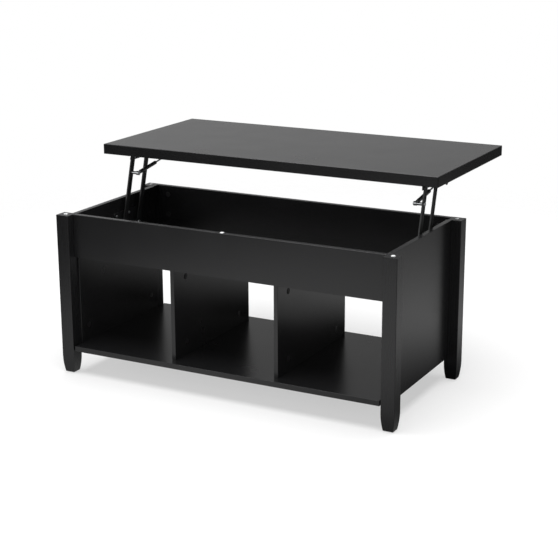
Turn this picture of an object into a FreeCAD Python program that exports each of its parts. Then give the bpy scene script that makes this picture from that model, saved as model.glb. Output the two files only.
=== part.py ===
import FreeCAD, Part
import math
import os

# A lift top coffee table, standing with its top raised.
# Millimetres. X runs along the table, Y runs from front to back and Z is up from the floor.
# The table is laid out about the middle of its four legs, and moved as a whole when it is
# written, so that the middle of its raised outline is the origin.

# Table top and heights
TOP_LENGTH = 1041.0
TOP_DEPTH = 495.0
TOP_THICK = 29.0
TOP_EDGE_ROUND = 1.5
CLOSED_HEIGHT = 495.0
LIFT_HEIGHT = 127.0
RIM_GAP = 2.5
OVERHANG_END = 4.5
OVERHANG_FRONT = 8.0

# Legs
LEG_SIDE = 39.0
LEG_EDGE_ROUND = 1.2
FOOT_SIDE = 29.0
FOOT_TAPER_TOP = 52.0
GLIDE_DIAMETER = 20.0
GLIDE_THICK = 2.5
GLIDE_NAIL_DIAMETER = 2.4
GLIDE_NAIL_LENGTH = 14.0

# Boards
BOARD = 15.0
BOARD_EDGE_ROUND = 0.8
APRON_SKIRT = 5.0
DIVIDER_BOARD = 12.0
DIVIDER_SETBACK = 7.0
END_PANEL_PROUD = 4.0
END_PANEL_BOTTOM = 66.0
SHELF_TOP = 83.0
SHELF_REVEAL = 2.0
BUMPER_DIAMETER = 12.0
BUMPER_GAP = 0.2

# Cam locks, their bolts and covers, and the wooden dowels
CAM_DIAMETER = 15.0
CAM_WALL = 2.5
CAM_SINK = 1.0
CAM_REACH = 36.0
CAM_CROSS_WIDTH = 1.4
CAM_CROSS_LENGTH = 8.0
CAM_CROSS_DEPTH = 1.5
COVER_DIAMETER = 16.5
COVER_THICK = 0.8
BOLT_HEAD_DIAMETER = 5.6
BOLT_HEAD_LENGTH = 3.0
BOLT_NECK_DIAMETER = 3.4
BOLT_SHANK_DIAMETER = 6.0
BOLT_THREAD_DIAMETER = 5.0
BOLT_THREAD_LENGTH = 11.0
DOWEL_DIAMETER = 8.0
DOWEL_IN_EDGE = 20.0
DOWEL_IN_FACE = 10.0
BORE_CLEARANCE = 0.1

# Places of the cam locks and dowels, measured from the edges named
APRON_CAM_DROP = 27.0
APRON_CAM_ABOVE_FLOOR = 15.0
END_BOLT_INSET = 5.0
END_CAM_ABOVE_FLOOR = 30.0
END_CAM_ABOVE_SHELF = 45.0
SHELF_CAM_SPREAD = 150.0
FLOOR_CAM_SPREAD = 140.0
DIVIDER_CAM_SPREAD = 147.5
FLOOR_DOWEL_SPREAD = 300.0

# Lift arms
ARM_LENGTH = 212.0
ARM_LEAN = 16.0
ARM_WIDTH = 18.0
ARM_THICK = 4.0
ARM_RIB_WIDTH = 5.0
ARM_RIB_HEIGHT = 0.6
ARM_RIB_END_GAP = 15.0
ARM_SPACING = 75.0
FRONT_PIVOT_Y = 15.0
UPPER_PIVOT_DROP = 11.0
ARM_FLOOR_GAP = 8.8

# Pivots, from the end panel inwards
BRACKET_THICK = 2.5
SPACER_LENGTH = 6.9
SPACER_DIAMETER = 12.0
PIVOT_DIAMETER = 8.0
PIVOT_CLEARANCE = 0.05
SIDE_CLEARANCE = 0.1
WASHER_DIAMETER = 14.0
WASHER_THICK = 1.0
RIVET_HEAD_DIAMETER = 12.0
RIVET_HEAD_THICK = 2.2

# Lower bracket, measured from the front arm's lower pivot
LOWER_PLATE_FRONT = 36.0
LOWER_PLATE_BEHIND_REAR_PIVOT = 14.0
LOWER_PLATE_BELOW = 10.7
LOWER_PLATE_ABOVE = 46.3
LOWER_PLATE_CORNER = 8.0
LOWER_LIP_BACK = 40.0
LOWER_LIP_REACH = 5.0
LOWER_LIP_RISE = (9.0, 31.0)
LOWER_SCREWS = ((-24.0, 36.0), (40.0, 36.0), (37.5, -2.0))

# Upper bracket
UPPER_SHEET = 2.0
UPPER_WALL_HEIGHT = 22.0
UPPER_WALL_FRONT = 15.5
UPPER_SHELF_WIDTH = 22.0
UPPER_SCREW_MARGIN = 20.0
UPPER_SCREWS_PER_SIDE = 4
STOP_DISTANCE = 10.0
STOP_LENGTH = 8.0
STOP_GAP = 0.3

# Screws
SCREW_HEAD_DIAMETER = 8.0
SCREW_HEAD_THICK = 2.2
SCREW_SHANK_DIAMETER = 4.0
SCREW_LENGTH = 12.0

# Gas struts
STRUT_INSET = 21.5
STUD_BELOW_UPPER_PIVOT = 50.0
STUD_SHOULDER_DIAMETER = 9.0
STUD_PIN_DIAMETER = 7.0
STUD_TIP = 1.5
CLIP_DIAMETER = 12.0
CLIP_THICK = 0.8
ANCHOR_BEHIND_PIVOT = 161.5
ANCHOR_BELOW_PIVOT = 21.0
ANCHOR_TONGUE_RADIUS = 9.0
ANCHOR_TAIL_DIAMETER = 5.0
ANCHOR_SIDE_GAP = 0.3
EYE_DIAMETER = 12.0
EYE_WIDTH = 8.0
EYE_NECK_DIAMETER = 7.0
EYE_TO_TUBE = 12.0
TUBE_DIAMETER = 11.0
TUBE_WALL = 1.3
TUBE_END_WALL = 4.0
TUBE_CLOSED_GAP = 7.0
TUBE_CAP_LENGTH = 6.0
ROD_DIAMETER = 5.0
PISTON_LENGTH = 6.0
PISTON_END_GAP = 2.0
PISTON_CLEARANCE = 0.1

# Heights that follow from the sizes above
RIM = CLOSED_HEIGHT - TOP_THICK - RIM_GAP
SHELF_BOTTOM = SHELF_TOP - BOARD
RAISED_UNDERSIDE = CLOSED_HEIGHT + LIFT_HEIGHT - TOP_THICK

# Half widths that follow, out from the middle of the legs
LEG_OUT_X = TOP_LENGTH / 2 - OVERHANG_END
LEG_OUT_Y = TOP_DEPTH / 2 - OVERHANG_FRONT
LEG_IN_X = LEG_OUT_X - LEG_SIDE
LEG_IN_Y = LEG_OUT_Y - LEG_SIDE
END_IN_X = LEG_IN_X - END_PANEL_PROUD
END_OUT_X = END_IN_X + BOARD
FRONT_APRON_IN_Y = LEG_IN_Y
FRONT_APRON_OUT_Y = FRONT_APRON_IN_Y + BOARD
REAR_APRON_IN_Y = LEG_OUT_Y - BOARD
SHELF_Y = LEG_OUT_Y - SHELF_REVEAL
DIVIDER_Y = FRONT_APRON_OUT_Y - DIVIDER_SETBACK
BAY_WIDTH = (2 * END_IN_X - 2 * DIVIDER_BOARD) / 3
DIVIDER_X = (BAY_WIDTH + DIVIDER_BOARD) / 2

# Linkage: the arms turn from the raised angle to the closed one, measured from +Y towards +Z
RAISED_ANGLE = 90 - ARM_LEAN
RAISED_RISE = ARM_LENGTH * math.sin(math.radians(RAISED_ANGLE))
CLOSED_RISE = RAISED_RISE - LIFT_HEIGHT
CLOSED_ANGLE = 180 - math.degrees(math.asin(CLOSED_RISE / ARM_LENGTH))
LIFT_TURN = CLOSED_ANGLE - RAISED_ANGLE
LIFT_SHIFT = ARM_LENGTH * (math.cos(math.radians(RAISED_ANGLE)) - math.cos(math.radians(CLOSED_ANGLE)))
UPPER_PIVOT_Z = RAISED_UNDERSIDE - UPPER_PIVOT_DROP
LOWER_PIVOT_Z = UPPER_PIVOT_Z - RAISED_RISE
STUD_ALONG_ARM = ARM_LENGTH - STUD_BELOW_UPPER_PIVOT
ORIGIN_Y = (LIFT_SHIFT + TOP_DEPTH / 2 - LEG_OUT_Y) / 2

# The hidden compartment's floor lies just below the arms' feet, and the aprons hang past it
FLOOR_TOP = LOWER_PIVOT_Z - ARM_WIDTH / 2 - ARM_FLOOR_GAP
FLOOR_BOTTOM = FLOOR_TOP - BOARD
APRON_BOTTOM = FLOOR_BOTTOM - APRON_SKIRT

# Planes across the right-hand lift mechanism, from the end panel inwards
PLATE_IN = END_IN_X - BRACKET_THICK
ARM_OUT = PLATE_IN - SPACER_LENGTH - SIDE_CLEARANCE
ARM_IN = ARM_OUT - ARM_THICK
WALL_OUT = ARM_IN - WASHER_THICK - SIDE_CLEARANCE
WALL_IN = WALL_OUT - UPPER_SHEET
STRUT_X = ARM_IN - STRUT_INSET
EYE_OUT = STRUT_X + EYE_WIDTH / 2
EYE_IN = STRUT_X - EYE_WIDTH / 2

SIDES = {"left": -1, "right": 1}

# Every piece, by name: a board on its own, or a list of alike pieces
boards = {}
hardware = {}
bores = {}


def vec(x, y, z):
    return FreeCAD.Vector(x, y, z)


def box(x, y, z):
    """A block between pairs of limits."""
    return Part.makeBox(x[1] - x[0], y[1] - y[0], z[1] - z[0], vec(x[0], y[0], z[0]))


def board(x, y, z, edge_round=BOARD_EDGE_ROUND):
    """A block with every edge eased."""
    solid = box(x, y, z)
    return solid.makeFillet(edge_round, solid.Edges)


def peg(start, direction, length, diameter):
    return Part.makeCylinder(diameter / 2, length, start, direction)


def sideways(x_from, x_to, y, z, diameter):
    """A round bar lying along X."""
    return peg(vec(min(x_from, x_to), y, z), vec(1, 0, 0), abs(x_to - x_from), diameter)


def mirrored(shape, side):
    """The right-hand shape as it is, or its mirror image for the left-hand side."""
    if side > 0:
        return shape
    return shape.mirror(vec(0, 0, 0), vec(1, 0, 0))


def fused(first, *others):
    return first.fuse(list(others)).removeSplitter()


def add(name, shape):
    hardware.setdefault(name, []).append(shape)


def bore(name, shape):
    bores.setdefault(name, []).append(shape)


def on_arm(start_y, distance):
    """Y and Z of a point along a raised arm."""
    angle = math.radians(RAISED_ANGLE)
    return start_y + distance * math.cos(angle), LOWER_PIVOT_Z + distance * math.sin(angle)


# ---------------------------------------------------------------- legs and boards

def leg_face():
    """A leg seen from the front: straight sides that curve in to the foot."""
    half_leg = LEG_SIDE / 2
    half_foot = FOOT_SIDE / 2
    inset = half_leg - half_foot
    drop = FOOT_TAPER_TOP - GLIDE_THICK
    radius = (inset ** 2 + drop ** 2) / (2 * inset)
    half_turn = math.asin(drop / radius) / 2
    middle_x = half_leg - radius * (1 - math.cos(half_turn))
    middle_z = FOOT_TAPER_TOP - radius * math.sin(half_turn)
    left_knee = vec(-half_leg, 0, FOOT_TAPER_TOP)
    right_knee = vec(half_leg, 0, FOOT_TAPER_TOP)
    left_toe = vec(-half_foot, 0, GLIDE_THICK)
    right_toe = vec(half_foot, 0, GLIDE_THICK)
    straight = Part.makePolygon([left_knee, vec(-half_leg, 0, RIM), vec(half_leg, 0, RIM), right_knee]).Edges
    right = Part.Arc(right_knee, vec(middle_x, 0, middle_z), right_toe).toShape()
    sole = Part.makeLine(right_toe, left_toe)
    left = Part.Arc(left_toe, vec(-middle_x, 0, middle_z), left_knee).toShape()
    return Part.Face(Part.Wire(straight + [right, sole, left]))


def make_leg():
    """A square leg whose four sides all curve in to the foot."""
    across = leg_face().extrude(vec(0, 2 * LEG_SIDE, 0))
    across.translate(vec(0, -LEG_SIDE, 0))
    along = across.copy()
    along.rotate(vec(0, 0, 0), vec(0, 0, 1), 90)
    leg = across.common(along)
    upright = [edge for edge in leg.Edges if abs(edge.tangentAt(edge.FirstParameter).z) > 0.5]
    return leg.makeFillet(LEG_EDGE_ROUND, upright)


def make_legs():
    """Four legs, each with a glide nailed under its foot and a bumper on its top."""
    for row, row_side in (("front", -1), ("rear", 1)):
        for column, side in SIDES.items():
            name = "leg_" + row + "_" + column
            x = side * (LEG_OUT_X - LEG_SIDE / 2)
            y = row_side * (LEG_OUT_Y - LEG_SIDE / 2)
            leg = make_leg()
            leg.translate(vec(x, y, 0))
            boards[name] = leg
            disc = peg(vec(x, y, 0), vec(0, 0, 1), GLIDE_THICK, GLIDE_DIAMETER)
            nail = peg(vec(x, y, 0), vec(0, 0, 1), GLIDE_THICK + GLIDE_NAIL_LENGTH, GLIDE_NAIL_DIAMETER)
            add("foot_glides", fused(disc, nail))
            hole = GLIDE_NAIL_DIAMETER + 2 * BORE_CLEARANCE
            bore(name, peg(vec(x, y, 0), vec(0, 0, 1), GLIDE_THICK + GLIDE_NAIL_LENGTH + 1, hole))
            add("lid_bumpers", make_bumper(x, y))


def make_bumper(x, y):
    """A soft round pad that the closed top comes down on."""
    height = RIM_GAP - BUMPER_GAP
    pad = peg(vec(x, y, RIM), vec(0, 0, 1), height, BUMPER_DIAMETER)
    crown = [edge for edge in pad.Edges if abs(edge.CenterOfMass.z - RIM - height) < 0.01]
    return pad.makeFillet(height * 0.4, crown)


def make_aprons():
    """Long boards between the legs, the front one flush inside them and the rear one flush outside."""
    length = (-LEG_IN_X, LEG_IN_X)
    height = (APRON_BOTTOM, RIM)
    boards["front_apron"] = board(length, (-FRONT_APRON_OUT_Y, -FRONT_APRON_IN_Y), height)
    boards["rear_apron"] = board(length, (REAR_APRON_IN_Y, LEG_OUT_Y), height)
    add("lid_bumpers", make_bumper(0, -(FRONT_APRON_IN_Y + FRONT_APRON_OUT_Y) / 2))


def make_end_panels():
    for column, side in SIDES.items():
        panel = board((END_IN_X, END_OUT_X), (-LEG_IN_Y, LEG_IN_Y), (END_PANEL_BOTTOM, RIM))
        boards["end_panel_" + column] = mirrored(panel, side)


def make_shelf_and_floor():
    """The shelf reaches forward and back to the legs' outer faces; the floor lies between the aprons."""
    length = (-END_IN_X, END_IN_X)
    boards["bottom_shelf"] = board(length, (-SHELF_Y, SHELF_Y), (SHELF_BOTTOM, SHELF_TOP))
    height = (FLOOR_BOTTOM, FLOOR_TOP)
    between_panels = box(length, (-FRONT_APRON_IN_Y, LEG_IN_Y), height)
    between_legs = box((-LEG_IN_X, LEG_IN_X), (LEG_IN_Y, REAR_APRON_IN_Y), height)
    boards["compartment_floor"] = fused(between_panels, between_legs)


def make_dividers():
    """Two upright boards between shelf and floor, notched round the front apron's lower edge."""
    for column, side in SIDES.items():
        x = (side * DIVIDER_X - DIVIDER_BOARD / 2, side * DIVIDER_X + DIVIDER_BOARD / 2)
        whole = board(x, (-DIVIDER_Y, DIVIDER_Y), (SHELF_TOP, FLOOR_BOTTOM))
        notch = box(x, (-FRONT_APRON_OUT_Y, -FRONT_APRON_IN_Y), (APRON_BOTTOM, FLOOR_BOTTOM))
        boards["divider_" + column] = whole.cut(notch)


# ---------------------------------------------------------------- joints between the boards

def cam_joint(
    host, mate, face_point, face_normal, toward_mate, axis_depth=BOARD / 2, thick=BOARD, covered=True
):
    """A cam lock in the host's face pulls on a bolt that is screwed into the mate."""
    bore_depth = thick - CAM_WALL
    inward = face_normal * -1
    centre = face_point + inward * axis_depth
    rim = CAM_DIAMETER / 2
    bore(host, peg(face_point, inward, bore_depth + BORE_CLEARANCE, CAM_DIAMETER + 2 * BORE_CLEARANCE))
    bore(host, peg(centre, toward_mate, CAM_REACH, BOLT_SHANK_DIAMETER + 2 * BORE_CLEARANCE))
    joint_point = centre + toward_mate * CAM_REACH
    thread_hole = BOLT_THREAD_DIAMETER + 2 * BORE_CLEARANCE
    bore(mate, peg(joint_point, toward_mate, BOLT_THREAD_LENGTH + BORE_CLEARANCE, thread_hole))

    lock = peg(face_point + inward * CAM_SINK, inward, bore_depth - CAM_SINK, CAM_DIAMETER)
    pocket_start = centre - toward_mate * (BOLT_HEAD_LENGTH / 2 + 2 * BORE_CLEARANCE)
    pocket = peg(pocket_start, toward_mate, CAM_DIAMETER, BOLT_HEAD_DIAMETER + 4 * BORE_CLEARANCE)
    cross = [pocket]
    sideways_axis = toward_mate.cross(face_normal)
    for bar_axis, bar_across in ((toward_mate, sideways_axis), (sideways_axis, toward_mate)):
        middle = face_point + inward * CAM_SINK
        corner = middle - bar_axis * (CAM_CROSS_LENGTH / 2) - bar_across * (CAM_CROSS_WIDTH / 2)
        outline = [corner, corner + bar_axis * CAM_CROSS_LENGTH]
        outline.append(outline[1] + bar_across * CAM_CROSS_WIDTH)
        outline.append(corner + bar_across * CAM_CROSS_WIDTH)
        slot = Part.Face(Part.makePolygon(outline + [corner])).extrude(inward * CAM_CROSS_DEPTH)
        cross.append(slot)
    add("cam_locks", lock.cut(cross))

    head_start = centre - toward_mate * (BOLT_HEAD_LENGTH / 2)
    head = peg(head_start, toward_mate, BOLT_HEAD_LENGTH, BOLT_HEAD_DIAMETER)
    neck = peg(centre, toward_mate, rim + 1, BOLT_NECK_DIAMETER)
    shank = peg(centre + toward_mate * (rim + 1), toward_mate, CAM_REACH - rim - 1, BOLT_SHANK_DIAMETER)
    thread = peg(joint_point, toward_mate, BOLT_THREAD_LENGTH, BOLT_THREAD_DIAMETER)
    add("cam_bolts", fused(head, neck, shank, thread))

    if covered:
        cap = peg(face_point, face_normal, COVER_THICK, COVER_DIAMETER)
        spigot = peg(face_point, inward, CAM_SINK - BORE_CLEARANCE, CAM_DIAMETER - 2 * BORE_CLEARANCE)
        add("cam_covers", fused(cap, spigot))


def dowel_joint(host, mate, joint_point, toward_mate):
    """A wooden dowel, long in the host's edge and short in the mate's face."""
    hole = DOWEL_DIAMETER + 2 * BORE_CLEARANCE
    bore(host, peg(joint_point, toward_mate * -1, DOWEL_IN_EDGE + 1, hole))
    bore(mate, peg(joint_point, toward_mate, DOWEL_IN_FACE + 1, hole))
    start = joint_point - toward_mate * DOWEL_IN_EDGE
    add("wood_dowels", peg(start, toward_mate, DOWEL_IN_EDGE + DOWEL_IN_FACE, DOWEL_DIAMETER))


def join_aprons():
    """Each apron end meets a leg, with the dowel above both bolts, clear of the end panel's bolt."""
    rows = (("front_apron", "front", -1, FRONT_APRON_IN_Y), ("rear_apron", "rear", 1, REAR_APRON_IN_Y))
    heights = (RIM - APRON_CAM_DROP, FLOOR_TOP + APRON_CAM_ABOVE_FLOOR)
    for apron, row, row_side, in_y in rows:
        for column, side in SIDES.items():
            leg = "leg_" + row + "_" + column
            outward = vec(side, 0, 0)
            face_y = row_side * in_y
            for height in heights:
                spot = vec(side * (LEG_IN_X - CAM_REACH), face_y, height)
                cam_joint(apron, leg, spot, vec(0, -row_side, 0), outward)
            middle_y = row_side * (in_y + BOARD / 2)
            dowel_joint(apron, leg, vec(side * LEG_IN_X, middle_y, RIM - APRON_CAM_DROP / 2), outward)


def join_end_panels():
    """Each end panel's upright edges meet a front and a rear leg."""
    meeting_x = LEG_IN_X + END_BOLT_INSET
    for column, side in SIDES.items():
        panel = "end_panel_" + column
        for row, row_side in (("front", -1), ("rear", 1)):
            leg = "leg_" + row + "_" + column
            outward = vec(0, row_side, 0)
            for height in (FLOOR_TOP + END_CAM_ABOVE_FLOOR, SHELF_TOP + END_CAM_ABOVE_SHELF):
                spot = vec(side * END_IN_X, row_side * (LEG_IN_Y - CAM_REACH), height)
                cam_joint(panel, leg, spot, vec(-side, 0, 0), outward, meeting_x - END_IN_X)
            middle = (SHELF_TOP + FLOOR_BOTTOM) / 2
            dowel_joint(panel, leg, vec(side * meeting_x, row_side * LEG_IN_Y, middle), outward)


def join_level_boards():
    """The shelf's and the floor's ends meet the end panels, and the floor meets the aprons."""
    levels = (
        ("bottom_shelf", SHELF_BOTTOM, SHELF_CAM_SPREAD),
        ("compartment_floor", FLOOR_BOTTOM, FLOOR_CAM_SPREAD),
    )
    for name, underside, spread in levels:
        for column, side in SIDES.items():
            panel = "end_panel_" + column
            outward = vec(side, 0, 0)
            for y in (-spread, spread):
                spot = vec(side * (END_IN_X - CAM_REACH), y, underside)
                cam_joint(name, panel, spot, vec(0, 0, -1), outward, covered=False)
            dowel_joint(name, panel, vec(side * END_IN_X, 0, underside + BOARD / 2), outward)
    for apron, row_side, in_y in (("front_apron", -1, FRONT_APRON_IN_Y), ("rear_apron", 1, REAR_APRON_IN_Y)):
        for x in (-FLOOR_DOWEL_SPREAD, 0, FLOOR_DOWEL_SPREAD):
            spot = vec(x, row_side * in_y, FLOOR_BOTTOM + BOARD / 2)
            dowel_joint("compartment_floor", apron, spot, vec(0, row_side, 0))


def join_dividers():
    """Each divider meets the shelf below and the floor above."""
    for column, side in SIDES.items():
        divider = "divider_" + column
        face_x = side * DIVIDER_X + DIVIDER_BOARD / 2
        meetings = (("bottom_shelf", SHELF_TOP, -1), ("compartment_floor", FLOOR_BOTTOM, 1))
        for mate, height, direction in meetings:
            outward = vec(0, 0, direction)
            for y in (-DIVIDER_CAM_SPREAD, DIVIDER_CAM_SPREAD):
                spot = vec(face_x, y, height - direction * CAM_REACH)
                cam_joint(divider, mate, spot, vec(1, 0, 0), outward, DIVIDER_BOARD / 2, DIVIDER_BOARD)
            dowel_joint(divider, mate, vec(side * DIVIDER_X, 0, height), outward)


# ---------------------------------------------------------------- lift mechanism

def screw(host, seat, direction):
    """A pan-head screw whose head sits on a sheet at the seat and whose shank runs into the host."""
    head = peg(seat, direction * -1, SCREW_HEAD_THICK, SCREW_HEAD_DIAMETER)
    crown = [edge for edge in head.Edges if (edge.CenterOfMass - seat).Length > SCREW_HEAD_THICK / 2]
    crown = [edge for edge in crown if edge.Closed]
    domed = head.makeFillet(SCREW_HEAD_THICK * 0.45, crown)
    shank = peg(seat, direction, SCREW_LENGTH, SCREW_SHANK_DIAMETER)
    bore(host, peg(seat, direction, SCREW_LENGTH + 1, SCREW_SHANK_DIAMETER + 2 * BORE_CLEARANCE))
    return fused(domed, shank)


def make_lower_brackets():
    """A plate on each end panel that carries both lower pivots, with one bent lip."""
    for column, side in SIDES.items():
        front = FRONT_PIVOT_Y - LOWER_PLATE_FRONT
        back = FRONT_PIVOT_Y + ARM_SPACING + LOWER_PLATE_BEHIND_REAR_PIVOT
        height = (LOWER_PIVOT_Z - LOWER_PLATE_BELOW, LOWER_PIVOT_Z + LOWER_PLATE_ABOVE)
        plate = box((PLATE_IN, END_IN_X), (front, back), height)
        corners = [edge for edge in plate.Edges if abs(edge.tangentAt(edge.FirstParameter).x) > 0.5]
        plate = plate.makeFillet(LOWER_PLATE_CORNER, corners)
        lip_y = FRONT_PIVOT_Y + LOWER_LIP_BACK
        lip_z = (LOWER_PIVOT_Z + LOWER_LIP_RISE[0], LOWER_PIVOT_Z + LOWER_LIP_RISE[1])
        lip = box((PLATE_IN - LOWER_LIP_REACH, PLATE_IN), (lip_y, lip_y + BRACKET_THICK), lip_z)
        bracket = fused(plate, lip)
        holes = []
        for y in (FRONT_PIVOT_Y, FRONT_PIVOT_Y + ARM_SPACING):
            holes.append(sideways(PLATE_IN, END_IN_X, y, LOWER_PIVOT_Z, PIVOT_DIAMETER + 2 * BORE_CLEARANCE))
        for back_by, up_by in LOWER_SCREWS:
            y = FRONT_PIVOT_Y + back_by
            z = LOWER_PIVOT_Z + up_by
            holes.append(sideways(PLATE_IN, END_IN_X, y, z, SCREW_SHANK_DIAMETER + 2 * BORE_CLEARANCE))
            panel = "end_panel_" + column
            add("lower_bracket_screws", screw(panel, vec(side * PLATE_IN, y, z), vec(side, 0, 0)))
        boards["lower_bracket_" + column] = mirrored(bracket.cut(holes), side)


def make_lower_pivots():
    """A rivet, spacer and washer at the foot of each arm, fixed to the lower bracket."""
    hole = PIVOT_DIAMETER + 2 * BORE_CLEARANCE
    for side in SIDES.values():
        for y in (FRONT_PIVOT_Y, FRONT_PIVOT_Y + ARM_SPACING):
            washer_in = ARM_IN - SIDE_CLEARANCE - WASHER_THICK
            shank = sideways(washer_in, END_IN_X, y, LOWER_PIVOT_Z, PIVOT_DIAMETER)
            head = sideways(washer_in - RIVET_HEAD_THICK, washer_in, y, LOWER_PIVOT_Z, RIVET_HEAD_DIAMETER)
            add("lower_rivets", mirrored(fused(head, shank), side))
            sleeve = sideways(PLATE_IN - SPACER_LENGTH, PLATE_IN, y, LOWER_PIVOT_Z, SPACER_DIAMETER)
            ring = sideways(washer_in, washer_in + WASHER_THICK, y, LOWER_PIVOT_Z, WASHER_DIAMETER)
            drill = sideways(washer_in, PLATE_IN, y, LOWER_PIVOT_Z, hole)
            add("lower_spacers", mirrored(sleeve.cut(drill), side))
            add("lower_washers", mirrored(ring.cut(drill), side))


def make_arm(start_y, has_stud):
    """A flat bar with round ends and an embossed rib, raised inside and sunk outside."""
    foot_z = LOWER_PIVOT_Z
    bar = box((ARM_IN, ARM_OUT), (-ARM_WIDTH / 2, ARM_WIDTH / 2), (0, ARM_LENGTH))
    ends = [sideways(ARM_IN, ARM_OUT, 0, z, ARM_WIDTH) for z in (0, ARM_LENGTH)]
    arm = fused(bar, *ends)
    stops = [0]
    if has_stud:
        stops.append(STUD_ALONG_ARM)
    stops.append(ARM_LENGTH)
    half_rib = ARM_RIB_WIDTH / 2
    for low, high in zip(stops, stops[1:]):
        reach = (low + ARM_RIB_END_GAP, high - ARM_RIB_END_GAP)
        rib = box((ARM_IN - ARM_RIB_HEIGHT, ARM_IN), (-half_rib, half_rib), reach)
        groove = box((ARM_OUT - ARM_RIB_HEIGHT, ARM_OUT), (-half_rib, half_rib), reach)
        arm = fused(arm, rib).cut(groove)
    pivot_hole = PIVOT_DIAMETER + 2 * PIVOT_CLEARANCE
    holes = [sideways(ARM_IN, ARM_OUT, 0, z, pivot_hole) for z in (0, ARM_LENGTH)]
    if has_stud:
        holes.append(sideways(ARM_IN, ARM_OUT, 0, STUD_ALONG_ARM, PIVOT_DIAMETER + 2 * BORE_CLEARANCE))
    arm = arm.cut(holes)
    arm.rotate(vec(0, 0, 0), vec(1, 0, 0), -ARM_LEAN)
    arm.translate(vec(0, start_y, foot_z))
    return arm


def make_arms():
    for column, side in SIDES.items():
        boards["arm_front_" + column] = mirrored(make_arm(FRONT_PIVOT_Y, True), side)
        boards["arm_rear_" + column] = mirrored(make_arm(FRONT_PIVOT_Y + ARM_SPACING, False), side)


def make_upper_brackets():
    """An angle under each end of the top, with a stop for the front arm and a tongue for the strut."""
    front_y = on_arm(FRONT_PIVOT_Y, ARM_LENGTH)[0]
    anchor_y = front_y + ANCHOR_BEHIND_PIVOT
    anchor_z = UPPER_PIVOT_Z - ANCHOR_BELOW_PIVOT
    start = front_y - UPPER_WALL_FRONT
    end = anchor_y + ANCHOR_TONGUE_RADIUS
    under = RAISED_UNDERSIDE
    tongue_y = (anchor_y - ANCHOR_TONGUE_RADIUS, end)
    screw_x = WALL_OUT - (UPPER_SHEET + UPPER_SHELF_WIDTH) / 2
    screw_step = (end - start - 2 * UPPER_SCREW_MARGIN) / (UPPER_SCREWS_PER_SIDE - 1)
    for column, side in SIDES.items():
        wall = box((WALL_IN, WALL_OUT), (start, end), (under - UPPER_WALL_HEIGHT, under))
        shelf = box((WALL_OUT - UPPER_SHELF_WIDTH, WALL_OUT), (start, end), (under - UPPER_SHEET, under))
        tongue = box((WALL_IN, WALL_OUT), tongue_y, (anchor_z, under))
        tip = sideways(WALL_IN, WALL_OUT, anchor_y, anchor_z, 2 * ANCHOR_TONGUE_RADIUS)
        stop_out = ARM_WIDTH / 2 + STOP_GAP
        half_stop = STOP_LENGTH / 2
        stop = box((WALL_IN, ARM_OUT), (-stop_out - UPPER_SHEET, -stop_out), (-half_stop, half_stop))
        stop.rotate(vec(0, 0, 0), vec(1, 0, 0), -ARM_LEAN)
        stop_y, stop_z = on_arm(FRONT_PIVOT_Y, ARM_LENGTH - STOP_DISTANCE)
        stop.translate(vec(0, stop_y, stop_z))
        bracket = fused(wall, shelf, tongue, tip, stop)
        holes = [sideways(WALL_IN, WALL_OUT, anchor_y, anchor_z, ANCHOR_TAIL_DIAMETER + 2 * BORE_CLEARANCE)]
        for y in (front_y, front_y + ARM_SPACING):
            holes.append(sideways(WALL_IN, WALL_OUT, y, UPPER_PIVOT_Z, PIVOT_DIAMETER + 2 * BORE_CLEARANCE))
        for number in range(UPPER_SCREWS_PER_SIDE):
            y = start + UPPER_SCREW_MARGIN + number * screw_step
            seat = vec(side * screw_x, y, under - UPPER_SHEET)
            add("upper_bracket_screws", screw("table_top", seat, vec(0, 0, 1)))
            hole = SCREW_SHANK_DIAMETER + 2 * BORE_CLEARANCE
            holes.append(peg(vec(screw_x, y, under - UPPER_SHEET), vec(0, 0, 1), UPPER_SHEET, hole))
        boards["upper_bracket_" + column] = mirrored(bracket.cut(holes), side)


def make_upper_pivots():
    """A rivet and washer at the head of each arm, fixed to the upper bracket."""
    for side in SIDES.values():
        for start_y in (FRONT_PIVOT_Y, FRONT_PIVOT_Y + ARM_SPACING):
            y = on_arm(start_y, ARM_LENGTH)[0]
            head_in = ARM_OUT + SIDE_CLEARANCE
            shank = sideways(WALL_IN, head_in, y, UPPER_PIVOT_Z, PIVOT_DIAMETER)
            tail = sideways(WALL_IN - RIVET_HEAD_THICK, WALL_IN, y, UPPER_PIVOT_Z, RIVET_HEAD_DIAMETER)
            head = sideways(head_in, head_in + RIVET_HEAD_THICK, y, UPPER_PIVOT_Z, RIVET_HEAD_DIAMETER)
            add("upper_rivets", mirrored(fused(tail, shank, head), side))
            ring = sideways(WALL_OUT, WALL_OUT + WASHER_THICK, y, UPPER_PIVOT_Z, WASHER_DIAMETER)
            hole = PIVOT_DIAMETER + 2 * BORE_CLEARANCE
            drill = sideways(WALL_OUT, WALL_OUT + WASHER_THICK, y, UPPER_PIVOT_Z, hole)
            add("upper_washers", mirrored(ring.cut(drill), side))


def make_table_top():
    middle = LIFT_SHIFT
    depth = (middle - TOP_DEPTH / 2, middle + TOP_DEPTH / 2)
    height = (RAISED_UNDERSIDE, RAISED_UNDERSIDE + TOP_THICK)
    boards["table_top"] = board((-TOP_LENGTH / 2, TOP_LENGTH / 2), depth, height, TOP_EDGE_ROUND)


# ---------------------------------------------------------------- gas struts

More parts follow.
